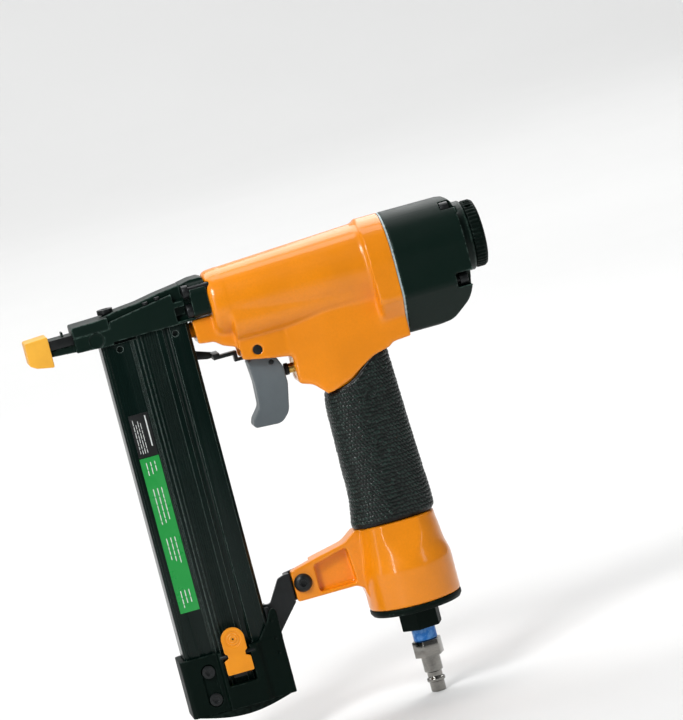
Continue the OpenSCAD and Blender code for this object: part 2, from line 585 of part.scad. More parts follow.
// Strap between the magazine and the handle's arm
module magazine_strap() color(black) difference() {
    union() {
        plate_y(-5.5, -3) polygon(rounded([[85.6, -159.2], [89.5, -159.6, 2], [96.6, -148, 2],
            [100.4, -146.8],
            [103, -146.8], [103, -162.4], [97.5, -168.6, 3], [91.5, -175.6], [85.6, -175.6]]));
        block([100.3, 103], [-5.5, 2.6], [-162.4, -146.8]);
        plate_y(0.1, 2.6) polygon(rounded([[100.3, -146.8], [115, -144.6, 1.5], [115, -161.8, 1.5],
            [100.3, -162.4]]));
        block([85.4, 87.6], [-9, 8], [-175.6, -160.4]);
    }
    rod_y(2.6, -1, 4, bracket_bolt[0], bracket_bolt[1]);
    for (p = rivet_places) rod_x(1.52, 84, 89, p[0], p[1]);
}
module strap_rivets() color(steel) for (p = rivet_places) {
    rod_x(1.5, 83, 88, p[0], p[1]);
    turned_head(p);
}
module turned_head(p) translate([0, p[0], p[1]]) turned_x([[87.7, 0], [87.7, 2.4], [88.4, 2], [88.9, 0]]);
module bracket_screw() color(black) difference() {
    union() {
        rod_y(2.5, -7.2, 6.5, bracket_bolt[0], bracket_bolt[1]);
        translate([bracket_bolt[0], -7.1, bracket_bolt[1]]) rotate([90, 0, 0])
            rotate_extrude() polygon([[0, 0], [4.9, 0], [4.9, 0.6], [4.2, 1.9], [2.8, 2.8], [0, 3.1]]);
    }
    translate([bracket_bolt[0], -10.5, bracket_bolt[1]]) rotate([-90, 0, 0])
        cylinder(r = 1.9, h = 2.2, $fn = 6);
}
module bracket_nut() color(steel) difference() {
    translate([bracket_bolt[0], 2.7, bracket_bolt[1]]) rotate([-90, 0, 0])
        cylinder(r = 4.6, h = 3.6, $fn = 6);
    rod_y(2.52, 2, 8, bracket_bolt[0], bracket_bolt[1]);
}

housing();
cylinder_cap();
cap_gasket();
cap_screws();
cylinder_sleeve();
cylinder_seals();
piston_bumper();
piston();
piston_ring();
driver_blade();
head_valve();
head_valve_seal();
head_valve_spring();
exhaust_deflector();
deflector_screw();
nose_body();
nose_cover();
nose_cover_screws();
nose_bolts();
contact_foot();
contact_arm();
contact_trip_spring();
no_mar_tip();
trigger();
trigger_pin();
trip_lever();
lever_pin();
valve_stem();
stem_button();
valve_bush();
valve_seals();
valve_spring();
grip_sleeve();
handle_end_cap();
end_cap_seal();
thread_seal();
air_plug();
magazine_rail();
rail_screw();
magazine_door();
name_label();
size_label();
pusher();
pusher_spring();
brad_strip();
magazine_end_cap();
base_pad();
end_cap_screws();
latch();
latch_pin();
latch_spring();
latch_strike();
magazine_strap();
strap_rivets();
bracket_screw();
bracket_nut();
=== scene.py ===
"""Looks of the brad nailer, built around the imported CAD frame. Metres, +Z up, drive axis along X."""
import json
import math
import random
from contextlib import contextmanager

import bmesh
import bpy
import numpy as np
from mathutils import Matrix, Vector


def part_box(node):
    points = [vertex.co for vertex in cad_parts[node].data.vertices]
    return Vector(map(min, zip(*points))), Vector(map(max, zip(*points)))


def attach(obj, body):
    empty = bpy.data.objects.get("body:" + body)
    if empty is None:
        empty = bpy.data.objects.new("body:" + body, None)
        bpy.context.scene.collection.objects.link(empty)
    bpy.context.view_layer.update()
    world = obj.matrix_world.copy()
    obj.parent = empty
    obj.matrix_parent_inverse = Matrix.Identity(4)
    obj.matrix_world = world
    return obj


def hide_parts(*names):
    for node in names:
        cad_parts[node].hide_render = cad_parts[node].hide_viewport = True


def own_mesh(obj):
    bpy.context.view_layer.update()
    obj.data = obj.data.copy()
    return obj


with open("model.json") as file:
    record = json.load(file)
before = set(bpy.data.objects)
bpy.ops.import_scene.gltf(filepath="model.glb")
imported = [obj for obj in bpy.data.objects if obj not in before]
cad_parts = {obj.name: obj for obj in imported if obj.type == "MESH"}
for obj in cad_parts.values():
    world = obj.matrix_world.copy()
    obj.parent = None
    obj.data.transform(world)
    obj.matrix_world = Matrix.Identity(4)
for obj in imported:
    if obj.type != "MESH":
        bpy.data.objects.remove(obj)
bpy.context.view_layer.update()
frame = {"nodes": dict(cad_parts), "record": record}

MM = 0.001
NODES = frame["nodes"]
BODY_OF = {node: body for body, nodes in frame["record"]["behaviour"]["bodies"].items()
           for node in nodes}
SLOT_OF = {row["node"]: row["material_slot"] for row in frame["record"]["subparts"]}


# ---------------------------------------------------------------- materials
NOISE_SPAN = (0.3, 0.7)       # where most of a noise texture's values lie
EDGE_BREAKUP_SPAN = (0.42, 0.62)      # noise that breaks up the paler edges: wear with a painted highlight
ALONG_Z = 0.005               # stretches noise into the die lines of an extrusion
RIBS = (0.0606, 0.0681)       # the rail's fine ribs along X, in metres
RIB_FADE = 0.0005


class Graph:
    """A material's node tree, with short calls for the nodes used here."""

    def __init__(self, name):
        self.material = bpy.data.materials.new(name)
        self.material.use_nodes = True
        self.tree = self.material.node_tree
        self.tree.nodes.clear()
        self.shader = self.node("ShaderNodeBsdfPrincipled")
        output = self.node("ShaderNodeOutputMaterial")
        self.link(self.shader.outputs[0], output.inputs[0])
        self.place = self.node("ShaderNodeTexCoord").outputs["Object"]

    def node(self, kind, **values):
        made = self.tree.nodes.new(kind)
        for key, value in values.items():
            setattr(made, key, value)
        return made

    def link(self, source, target):
        self.tree.links.new(source, target)

    def noise(self, scale, detail=3.0, rough=0.55, stretch=None, warp=0.0):
        """Noise with this many features a metre, stretched by a factor for each axis."""
        made = self.node("ShaderNodeTexNoise")
        made.inputs["Scale"].default_value = scale
        made.inputs["Detail"].default_value = detail
        made.inputs["Roughness"].default_value = rough
        made.inputs["Distortion"].default_value = warp
        source = self.place
        if stretch:
            mapping = self.node("ShaderNodeMapping")
            mapping.inputs["Scale"].default_value = stretch
            self.link(source, mapping.inputs["Vector"])
            source = mapping.outputs[0]
        self.link(source, made.inputs["Vector"])
        return made.outputs["Fac"]

    def cells(self, scale):
        made = self.node("ShaderNodeTexVoronoi")
        made.inputs["Scale"].default_value = scale
        self.link(self.place, made.inputs["Vector"])
        return made.outputs["Distance"]

    def remap(self, value, low, high, out_low=0.0, out_high=1.0):
        made = self.node("ShaderNodeMapRange")
        made.inputs["From Min"].default_value = low
        made.inputs["From Max"].default_value = high
        made.inputs["To Min"].default_value = out_low
        made.inputs["To Max"].default_value = out_high
        self.link(value, made.inputs["Value"])
        return made.outputs[0]

    def maths(self, operation, a, b):
        made = self.node("ShaderNodeMath", operation=operation)
        for socket, value in zip(made.inputs, (a, b)):
            if isinstance(value, (int, float)):
                socket.default_value = value
            else:
                self.link(value, socket)
        return made.outputs[0]

    def mix(self, factor, a, b):
        made = self.node("ShaderNodeMix", data_type="RGBA")
        self.link(factor, made.inputs[0])
        for socket, value in ((made.inputs[6], a), (made.inputs[7], b)):
            if isinstance(value, tuple):
                socket.default_value = (*value, 1.0)
            else:
                self.link(value, socket)
        return made.outputs[2]

    def edges(self, low, high):
        """Where the surface is sharply convex, broken up by fine noise: the mask of edges painted paler,
        part wear and part painted highlight.
        """
        sharp = self.remap(self.node("ShaderNodeNewGeometry").outputs["Pointiness"], low, high)
        broken = self.remap(self.noise(420.0, 4.0), *EDGE_BREAKUP_SPAN)
        return self.maths("MULTIPLY", sharp, broken)

    def arrises(self, radius):
        """Where a fillet of this radius would turn the surface, for meshes too coarse for pointiness."""
        round_normal = self.node("ShaderNodeBevel", samples=6)
        round_normal.inputs["Radius"].default_value = radius
        turned = self.node("ShaderNodeVectorMath", operation="DISTANCE")
        self.link(round_normal.outputs[0], turned.inputs[0])
        self.link(self.node("ShaderNodeNewGeometry").outputs["Normal"], turned.inputs[1])
        broken = self.remap(self.noise(500.0, 4.0), 0.25, 0.6, 0.45, 1.0)
        slight, full = 0.12, 1.0 / 2.4
        return self.maths("MULTIPLY", self.remap(turned.outputs["Value"], slight, full), broken)

    def colour(self, value):
        self.link(value, self.shader.inputs["Base Color"])

    def rough(self, value):
        self.link(value, self.shader.inputs["Roughness"])

    def bump(self, *layers):
        """Each layer is (height, distance in metres, strength)."""
        normal = None
        for height, distance, strength in layers:
            made = self.node("ShaderNodeBump")
            made.inputs["Distance"].default_value = distance
            made.inputs["Strength"].default_value = strength
            self.link(height, made.inputs["Height"])
            if normal:
                self.link(normal, made.inputs["Normal"])
            normal = made.outputs[0]
        self.link(normal, self.shader.inputs["Normal"])

    def plain(self, **values):
        for name, value in values.items():
            self.shader.inputs[name.replace("_", " ")].default_value = value


def srgb(r, g, b):
    """8-bit sRGB to linear."""
    return tuple(c / 12.92 if c <= 0.04045 else ((c + 0.055) / 1.055) ** 2.4
                 for c in (r / 255, g / 255, b / 255))


def shade(colour, factor):
    """A colour made darker or lighter."""
    return tuple(min(1.0, c * factor) for c in colour)


def enamel(name, colour, wear_and_highlight, low_rough, high_rough, coat, edge, specular):
    """Sprayed enamel on a casting: orange peel, faint mottling, scuffs, and lighter edges that are part
    wear, part painted highlight.
    """
    g = Graph(name)
    mottled = g.mix(g.remap(g.noise(28.0, 4.0), *NOISE_SPAN), shade(colour, 0.9), shade(colour, 1.06))
    fine = g.remap(g.noise(900.0, 2.0), *NOISE_SPAN, 0.0, 0.35)
    mottled = g.mix(fine, mottled, shade(colour, 0.86))
    scuffs = g.remap(g.noise(90.0, 6.0, 0.7, stretch=(1.0, 1.0, 6.0), warp=1.5), 0.66, 0.8)
    # convex edges painted paler, part wear and part painted highlight; scuffs are wear only
    wear_and_edge_highlight = g.maths("MAXIMUM", g.edges(*edge), g.maths("MULTIPLY", scuffs, 0.12))
    g.colour(g.mix(wear_and_edge_highlight, mottled, wear_and_highlight))
    g.rough(g.maths("ADD", g.remap(g.noise(60.0, 5.0), *NOISE_SPAN, low_rough, high_rough),
                    g.maths("MULTIPLY", scuffs, 0.2)))
    peel, ripple = g.noise(650.0, 2.0), g.noise(55.0, 3.0)
    g.bump((peel, 0.00012, 0.35), (ripple, 0.0006, 0.12), (scuffs, 0.00003, 0.3))
    g.plain(Coat_Weight=coat, Coat_Roughness=0.09, Specular_IOR_Level=specular)
    return g.material


def moulded(name, colour, wear_and_highlight, rough, grain=1600.0, depth=0.00005, gloss=0.32):
    """Moulded plastic or rubber with a spark-eroded texture, handling marks, and paler edges that are part
    wear, part painted highlight.
    """
    g = Graph(name)
    cloudy = g.mix(g.remap(g.noise(40.0, 5.0), *NOISE_SPAN), shade(colour, 0.82), shade(colour, 1.15))
    marks = g.remap(g.noise(130.0, 6.0, 0.72, stretch=(3.0, 1.0, 1.0), warp=0.8), 0.64, 0.78)
    # convex edges painted paler, part wear and part painted highlight; handling marks are wear only
    wear_and_edge_highlight = g.maths("MAXIMUM", g.edges(0.515, 0.6), g.maths("MULTIPLY", marks, 0.35))
    g.colour(g.mix(wear_and_edge_highlight, cloudy, wear_and_highlight))
    g.rough(g.maths("ADD", g.remap(g.noise(75.0, 5.0), *NOISE_SPAN, rough - 0.07, rough + 0.08),
                    g.maths("MULTIPLY", marks, -0.12)))
    g.bump((g.cells(grain), depth, 0.5), (g.noise(grain * 0.5, 3.0), depth, 0.4), (marks, 0.00002, 0.3))
    g.plain(Specular_IOR_Level=gloss)
    return g.material


def pebbled(name, shaded_valley, lit_crest, rough):
    """Rubber with a leather grain in its mesh: painted shade darkens the valleys, and a painted highlight
    lightens the crests.
    """
    g = Graph(name)
    lift = g.remap(g.node("ShaderNodeAttribute", attribute_name="grain").outputs["Fac"], 0.45, 0.95)
    wear_and_highlight = g.maths("MULTIPLY", lift, g.remap(g.noise(60.0, 4.0), *NOISE_SPAN, 0.7, 1.0))
    # painted shade: the grain's valleys go dark; painted highlight: its crests go pale
    g.colour(g.mix(wear_and_highlight, shaded_valley, lit_crest))
    g.rough(g.maths("ADD", g.remap(g.noise(200.0, 4.0), *NOISE_SPAN, rough - 0.05, rough + 0.08),
                    g.maths("MULTIPLY", lift, -0.14)))
    g.bump((g.noise(1800.0, 3.0), 0.00003, 0.4), (g.cells(3200.0), 0.00001, 0.3))
    g.plain(Specular_IOR_Level=0.34)
    return g.material


def metal(name, colour, dark, rough, brushed, metallic=1.0):
    """Ground or turned metal: fine brushing along one axis, stains in the low spots."""
    g = Graph(name)
    grain = g.noise(260.0, 5.0, 0.6, stretch=brushed)
    stains = g.remap(g.noise(110.0, 6.0, 0.7), 0.5, 0.78)
    tone = g.mix(g.remap(grain, *NOISE_SPAN), shade(colour, 0.8), colour)
    g.colour(g.mix(g.maths("MULTIPLY", stains, 0.55), tone, dark))
    g.rough(g.maths("ADD", g.remap(grain, *NOISE_SPAN, rough - 0.06, rough + 0.08),
                    g.maths("MULTIPLY", stains, 0.2)))
    g.bump((grain, 0.00002, 0.35), (g.noise(700.0, 3.0), 0.00001, 0.3))
    g.plain(Metallic=metallic)
    return g.material


def anodised(name, colour, edge):
    """Dark anodised extrusion: die lines along Z, edges made lighter by wear and a painted highlight line,
    slight haze.
    """
    g = Graph(name)
    lines = g.noise(1300.0, 3.0, 0.6, stretch=(1.0, 1.0, ALONG_Z))
    haze = g.remap(g.noise(22.0, 4.0), 0.3, 0.75)
    tone = g.mix(haze, shade(colour, 0.8), shade(colour, 1.25))
    rubs = g.remap(g.noise(160.0, 6.0, 0.72, stretch=(1.0, 1.0, 0.12)), 0.7, 0.85)
    across = g.node("ShaderNodeSeparateXYZ")
    g.link(g.place, across.inputs[0])
    x = across.outputs[0]
    before, after = g.remap(x, RIBS[0] + RIB_FADE, RIBS[0]), g.remap(x, RIBS[1] - RIB_FADE, RIBS[1])
    off_ribs = g.remap(g.maths("MAXIMUM", before, after), 0.0, 1.0, 0.12, 1.0)
    # painted highlight lines along every arris, fainter on the fine ribs; the rubs beside them are wear
    lines_lit = g.maths("MULTIPLY", g.arrises(0.35 * MM), off_ribs)
    g.colour(g.mix(g.maths("MAXIMUM", lines_lit, g.maths("MULTIPLY", rubs, 0.06)), tone, edge))
    g.rough(g.maths("ADD", g.remap(lines, *NOISE_SPAN, 0.2, 0.27), g.maths("MULTIPLY", haze, 0.06)))
    g.bump((lines, 0.000006, 0.15), (g.noise(1200.0, 2.0), 0.000006, 0.25))
    g.plain(Specular_IOR_Level=0.2)
    return g.material


def label_film(name, colour, faded):
    """Laminated label: even ink, slight fading and scratches in the film."""
    g = Graph(name)
    scratches = g.remap(g.noise(300.0, 5.0, 0.75, stretch=(1.0, 1.0, 0.08)), 0.68, 0.8)
    wear_and_highlight = g.maths("MAXIMUM", g.remap(g.noise(35.0, 4.0), 0.5, 0.8, 0.0, 0.35),
                   g.maths("MULTIPLY", scratches, 0.5))
    g.colour(g.mix(wear_and_highlight, colour, faded))
    g.rough(g.remap(g.noise(120.0, 4.0), *NOISE_SPAN, 0.24, 0.4))
    g.bump((g.noise(500.0, 2.0), 0.00001, 0.3), (scratches, 0.00001, 0.4))
    return g.material


MATERIALS = {slot: make(slot, *settings) for slot, make, *settings in (
    # slot, builder, colour, second colour, then what the builder asks for; the second colour is a metal's
    # stain, a label's fading, and on paint, mouldings and anodising both wear and a painted edge
    # highlight; on the grip the two colours are a painted valley shade and a painted crest highlight
    ("orange_paint", enamel, srgb(244, 143, 10), srgb(255, 186, 84), 0.28, 0.38, 0.55, (0.53, 0.62), 0.25),
    ("dark_paint", enamel, srgb(7, 27, 21), srgb(84, 106, 98), 0.34, 0.46, 0.02, (0.51, 0.56), 0.14),
    ("black_steel", metal, srgb(34, 37, 38), srgb(14, 14, 14), 0.34, (1.0, 1.0, 0.2), 0.5),
    ("bright_steel", metal, srgb(190, 190, 188), srgb(95, 88, 80), 0.26, (0.1, 1.0, 1.0)),
    ("nickel", metal, srgb(150, 148, 143), srgb(60, 56, 52), 0.13, (1.0, 1.0, 8.0)),
    ("brass", metal, srgb(214, 176, 96), srgb(120, 90, 44), 0.25, (8.0, 1.0, 1.0)),
    ("anodised", anodised, srgb(3, 20, 16), srgb(138, 154, 148)),
    ("aluminium", metal, srgb(176, 180, 184), srgb(110, 110, 112), 0.32, (8.0, 1.0, 1.0)),
    ("grip_rubber", pebbled, srgb(0, 3, 2), srgb(38, 56, 50), 0.36),
    ("seal_rubber", moulded, srgb(22, 22, 22), srgb(52, 52, 52), 0.46),
    ("gasket", moulded, srgb(160, 178, 180), srgb(200, 210, 210), 0.62),
    ("trigger_plastic", moulded, srgb(96, 104, 108), srgb(140, 146, 148), 0.42, 2000.0, 0.00004),
    ("black_plastic", moulded, srgb(3, 17, 12), srgb(56, 72, 66), 0.5, 1500.0, 0.00003, 0.08),
    ("tip_plastic", moulded, srgb(252, 178, 60), srgb(255, 210, 140), 0.42, 2200.0, 0.00003),
    ("latch_plastic", moulded, srgb(250, 152, 24), srgb(255, 196, 104), 0.33, 2400.0, 0.00003),
    ("green_label", label_film, srgb(22, 150, 62), srgb(90, 180, 110)),
    ("black_label", label_film, srgb(14, 16, 17), srgb(60, 62, 62)),
    ("thread_tape", moulded, srgb(26, 108, 190), srgb(90, 150, 215), 0.4, 1200.0, 0.00008),
    ("label_ink", label_film, srgb(225, 230, 228), srgb(180, 186, 184)),
)}


def paint(obj, slot):
    obj.data.materials.clear()
    obj.data.materials.append(MATERIALS[slot])


for node_name, node_mesh in NODES.items():
    paint(node_mesh, SLOT_OF[node_name])


# ---------------------------------------------------------------- mesh helpers
def linked(name, data):
    """A new object for a mesh, light or camera, in the scene."""
    made = bpy.data.objects.new(name, data)
    bpy.context.collection.objects.link(made)
    return made


def apply(obj, kind, **values):
    """Adds one modifier and applies it at once."""
    made = obj.modifiers.new(kind.lower(), kind)
    for key, value in values.items():
        setattr(made, key, value)
    with bpy.context.temp_override(object=obj, active_object=obj, selected_objects=[obj]):
        bpy.ops.object.modifier_apply(modifier=made.name)


def add_piece(obj, node, slot=None):
    """Gives a new piece its node's body, and the node's slot and material unless another is named."""
    slot = slot or SLOT_OF[node]
    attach(obj, BODY_OF[node])
    paint(obj, slot)


def finish_piece(obj, node):
    """A new piece that stands for its node, which is hidden."""
    add_piece(obj, node)
    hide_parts(node)


def copy_of(node, name):
    return linked(name, NODES[node].data.copy())


@contextmanager
def editing(mesh, source=True):
    """A bmesh of the mesh, written back at the end; without source it starts empty."""
    bm = bmesh.new()
    if source:
        bm.from_mesh(mesh)
    yield bm
    bm.to_mesh(mesh)
    bm.free()


def weld(obj, distance):
    with editing(obj.data) as bm:
        bmesh.ops.remove_doubles(bm, verts=bm.verts, dist=distance)


def cast(node, name, voxel, passes):
    """A node as a casting or moulding: its solid is resampled, and every corner is rounded over."""
    obj = copy_of(node, name)
    weld(obj, 1e-6)
    apply(obj, "REMESH", mode="VOXEL", voxel_size=voxel * MM, use_smooth_shade=True)
    apply(obj, "SMOOTH", factor=0.5, iterations=passes)
    for face in obj.data.polygons:
        face.use_smooth = True
    finish_piece(obj, node)
    return obj


def soften(obj, low, high, passes, feather):
    """Smooths what lies in a box (millimetres), fading out over its margin: a casting's fillets."""
    levels = 8
    place = np.empty(len(obj.data.vertices) * 3)
    obj.data.vertices.foreach_get("co", place)
    place = place.reshape(-1, 3) / MM
    depth = np.minimum(place - np.array(low), np.array(high) - place).min(1) / feather
    weight = np.clip(depth, 0, 1)
    group = obj.vertex_groups.new(name="soft")
    for level in range(1, levels + 1):
        inside = np.nonzero((weight > (level - 1) / levels) & (weight <= level / levels))[0]
        if len(inside):
            group.add(inside.tolist(), level / levels, "REPLACE")
    apply(obj, "SMOOTH", factor=0.5, iterations=passes, vertex_group="soft")
    obj.vertex_groups.clear()


def machined(node, name, width):
    """A node as a machined or extruded piece: flat faces kept, edges broken by a small bevel."""
    flat, bevelled, creased = (math.radians(v) for v in (0.5, 28.0, 40.0))
    obj = copy_of(node, name)
    weld(obj, 2e-6)
    with editing(obj.data) as bm:
        bmesh.ops.dissolve_limit(bm, angle_limit=flat, verts=bm.verts, edges=bm.edges)
    apply(obj, "BEVEL", width=width * MM, segments=2, limit_method="ANGLE", angle_limit=bevelled,
          use_clamp_overlap=True)
    with editing(obj.data) as bm:
        for face in bm.faces:
            face.smooth = True
        for edge in bm.edges:
            edge.smooth = not (edge.is_manifold and edge.calc_face_angle(0.0) > creased)
    finish_piece(obj, node)


# ---------------------------------------------------------------- castings and mouldings
housing = cast("housing", "housing_casting", 0.62, 5)
for node_name, piece_name, voxel_size, smoothing in (
        ("cylinder_cap", "cap_casting", 0.5, 5),
        ("nose_body", "nose_casting", 0.36, 4),
        ("nose_cover", "nose_cover_casting", 0.36, 4),
        ("no_mar_tip", "tip_moulding", 0.3, 5),
        ("trigger", "trigger_moulding", 0.34, 8),
        ("magazine_end_cap", "end_cap_moulding", 0.36, 4),
        ("latch", "latch_moulding", 0.2, 4),
        ("exhaust_deflector", "deflector_moulding", 0.3, 2),
        ("handle_end_cap", "handle_cap_moulding", 0.34, 3),
        ("magazine_strap", "strap_forging", 0.26, 3)):
    cast(node_name, piece_name, voxel_size, smoothing)

for box_low, box_high, smoothing, margin in (
        ((141, -30, -154.5), (195, 30, -135.5), 60, 3.0),   # the bell's shoulder
        ((141, -30, -176), (195, 30, -152), 10, 3.0),       # the bell's rim
        ((168, -30, -44), (187, 30, -8), 40, 3.0),          # behind the barrel, above the grip
        ((125, -30, -58), (160, 30, -24), 25, 5.0),         # the web above the trigger
        ((96, -30, -23), (110, 30, 30), 12, 3.0)):          # the barrel's neck
    soften(housing, box_low, box_high, smoothing, margin)


# ---------------------------------------------------------------- rubber grip
def curve_through(knots, values):
    """A smooth curve through knots (first column rising), read at the given values."""
    xs, ys = (np.array(c, float) for c in zip(*knots))
    slopes = np.gradient(ys, xs)
    at = np.clip(values, xs[0], xs[-1])
    i = np.clip(np.searchsorted(xs, at) - 1, 0, len(xs) - 2)
    h = xs[i + 1] - xs[i]
    t = (at - xs[i]) / h
    return ((2 * t**3 - 3 * t**2 + 1) * ys[i] + (t**3 - 2 * t**2 + t) * h * slopes[i]
            + (3 * t**2 - 2 * t**3) * ys[i + 1] + (t**3 - t**2) * h * slopes[i + 1])


def pebbles(u, v, pitch, seed, around):
    """Height from 0 to 1 of a leather-like grain: jittered domes with narrow valleys between them."""
    rng = np.random.default_rng(seed)
    columns = int(round(around / pitch))
    rows = int(np.ceil((v.max() - v.min()) / pitch)) + 4
    jitter = rng.random((columns, rows, 2)) * 0.5 + 0.25
    size = rng.random((columns, rows)) * 0.35 + 0.65
    cu = u / around * columns
    cv = (v - v.min()) / pitch + 2
    iu, iv = np.floor(cu).astype(int), np.floor(cv).astype(int)
    first = np.full(u.shape, 9.0)
    second = np.full(u.shape, 9.0)
    tall = np.zeros(u.shape)
    for du in (-1, 0, 1):
        for dv in (-1, 0, 1):
            a, b = (iu + du) % columns, np.clip(iv + dv, 0, rows - 1)
            dist = np.hypot(iu + du + jitter[a, b, 0] - cu, iv + dv + jitter[a, b, 1] - cv)
            nearer = dist < first
            second = np.where(nearer, first, np.minimum(second, dist))
            tall = np.where(nearer, size[a, b], tall)
            first = np.where(nearer, dist, first)
    crown = np.clip((second - first) / 0.75, 0, 1)
    return tall * np.sqrt(np.clip(1 - (1 - crown) ** 2, 0, 1))


def mesh_of(name, grid):
    """A torus-like mesh from rows of points in millimetres: rows and columns both close on themselves."""
    rows, columns = grid.shape[:2]
    faces = []
    for j in range(rows):
        k = (j + 1) % rows
        for i in range(columns):
            n = (i + 1) % columns
            faces.append((j * columns + i, j * columns + n, k * columns + n, k * columns + i))
    mesh = bpy.data.meshes.new(name)
    mesh.from_pydata((grid.reshape(-1, 3) * MM).tolist(), [], faces)
    for face in mesh.polygons:
        face.use_smooth = True
    return mesh


def build_grip():
    """An oval sleeve with a sloping mouth, rolled lips and a pebbled skin."""
    front = [(-134, 141.4), (-129, 142.5), (-122, 143.7), (-100, 144.3), (-80, 144.6), (-67, 144.9),
             (-60, 146.2), (-44, 147.5)]
    back = [(-134, 185.7), (-131.5, 187.0), (-127, 187.2), (-110, 186.4), (-90, 185.5), (-70, 184.7),
            (-44, 183.7)]
    mouth = [(141, -60.4), (146, -60), (151, -59), (160, -55.6), (167, -51), (175, -46.6),
             (183.6, -44.6), (189, -44.2)]
    mouth_middle, mouth_reach = 164, 20.5
    bottom, half, corner = -134.0, 16.95, 2.6
    grain, wall, lip, overlap = 0.6, 2.4, 1.1, 0.9
    around, pitch, seed = 116.0, 1.75, 7
    lean, squat, fade_length = 0.55, 0.82, 1.2
    columns, rows = 440, 320
    theta = np.linspace(0, 2 * np.pi, columns, endpoint=False)
    cosine, sine = np.cos(theta), np.sin(theta)
    shape_x = np.sign(cosine) * np.abs(cosine) ** (2 / corner)
    shape_y = np.sign(sine) * np.abs(sine) ** (2 / corner)

    def ring_points(z, inset):
        left, right = curve_through(front, z), curve_through(back, z)
        x = (left + right) / 2 + ((right - left) / 2 - inset) * shape_x
        return np.stack([x, (half - inset) * shape_y, z], -1)

    top_z = curve_through(mouth, mouth_middle + mouth_reach * shape_x) + overlap
    t = np.linspace(0, 1, rows)[:, None]
    z = bottom + (top_z[None, :] - bottom) * t
    from_end = np.minimum(z - bottom, top_z[None, :] - z)
    rolled = lip - np.sqrt(np.maximum(0, lip**2 - np.maximum(0, lip - from_end) ** 2))
    outer = np.stack([ring_points(z[j], grain + rolled[j]) for j in range(rows)])
    along = np.linalg.norm(np.diff(outer, axis=1, append=outer[:, :1]), axis=2)
    u = np.concatenate([np.zeros((rows, 1)), np.cumsum(along, axis=1)[:, :-1]], axis=1)
    u = u / along.sum(axis=1, keepdims=True) * around
    slant = (u + lean * (z + 140.0)) % around
    height = pebbles(slant, z * squat, pitch, seed, around)
    fade = np.clip((from_end - lip) / fade_length, 0, 1)
    across = np.roll(outer, -1, 1) - np.roll(outer, 1, 1)
    upward = np.gradient(outer, axis=0)
    normal = np.cross(across, upward)
    normal /= np.linalg.norm(normal, axis=2, keepdims=True)
    outer = outer + normal * (height * fade * grain)[..., None]
    inner = [ring_points(top_z, wall), ring_points(np.full(columns, bottom), wall)]
    mesh = mesh_of("grip_rubber_sleeve", np.concatenate([outer, np.stack(inner)]))
    # the grain's height, stored for the grip material's painted valley shade and crest highlight
    lift = np.concatenate([(height * fade).ravel(), np.zeros(2 * columns)])
    mesh.attributes.new("grain", "FLOAT", "POINT").data.foreach_set("value", lift.astype(np.float32))
    finish_piece(linked("grip_rubber_sleeve", mesh), "grip_sleeve")


build_grip()


# ---------------------------------------------------------------- springs, extrusions and hardware
LATCH_PAD_Z = -170.4          # height of the latch's thumb pad, in millimetres
DIMPLE_Y = -16.62             # floor of the pad's round dimple


def face_outward(bm):
    """Smooth faces that all look outward."""
    bmesh.ops.recalc_face_normals(bm, faces=bm.faces)
    for face in bm.faces:
        face.smooth = True


def turned_about(axis):
    """The unit vector along an axis, and a function that gives the direction outward at an angle."""
    toward = Vector(axis).normalized()
    base_x = toward.orthogonal().normalized()
    base_y = toward.cross(base_x)
    return toward, lambda a: base_x * math.cos(a) + base_y * math.sin(a)


def build_spring(node, name, radius, wire, start, axis, length, turns):
    """A smooth round-wire helix in place of the CAD model's coarse one, with closed end turns."""
    sides, per_turn = 10, 28
    closed_ends = 0.55
    steps = int(turns * per_turn)
    toward, outward = turned_about(axis)
    mesh = bpy.data.meshes.new(name)
    with editing(mesh, source=False) as bm:
        rings = []
        for i in range(steps + 1):
            part = i / steps
            ease = part - math.sin(2 * math.pi * part) / (2 * math.pi) * closed_ends
            out = outward(2 * math.pi * i / per_turn)
            centre = Vector(start) + toward * (wire + (length - 2 * wire) * ease) + out * radius
            ring = []
            for j in range(sides):
                t = 2 * math.pi * j / sides
                point = centre + out * wire * math.cos(t) + toward * wire * math.sin(t)
                ring.append(bm.verts.new(point * MM))
            rings.append(ring)
        for a, b in zip(rings, rings[1:]):
            for j in range(sides):
                bm.faces.new((a[j], a[(j + 1) % sides], b[(j + 1) % sides], b[j]))
        bm.faces.new(rings[0][::-1])
        bm.faces.new(rings[-1])
        face_outward(bm)
    obj = linked(name, mesh)
    finish_piece(obj, node)
    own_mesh(obj)


build_spring("contact_trip_spring", "trip_return_spring", 1.35, 0.3, (56.1, 9.8, 2.2), (1, 0, 0), 24.3, 12)
build_spring("head_valve_spring", "valve_return_spring", 11.8, 0.8, (214.1, 0, 0), (1, 0, 0), 12.2, 4)
build_spring("valve_spring", "stem_return_spring", 2.4, 0.35, (146.1, 0, -43), (1, 0, 0), 5.4, 4)
build_spring("pusher_spring", "feed_spring", 2.6, 0.4, (52, 0, -175), (0, 0, 1), 141.9, 34)
build_spring("latch_spring", "latch_return_spring", 1.9, 0.25, (64.7, -14.8, LATCH_PAD_Z), (0, 1, 0), 3.0,
             4)

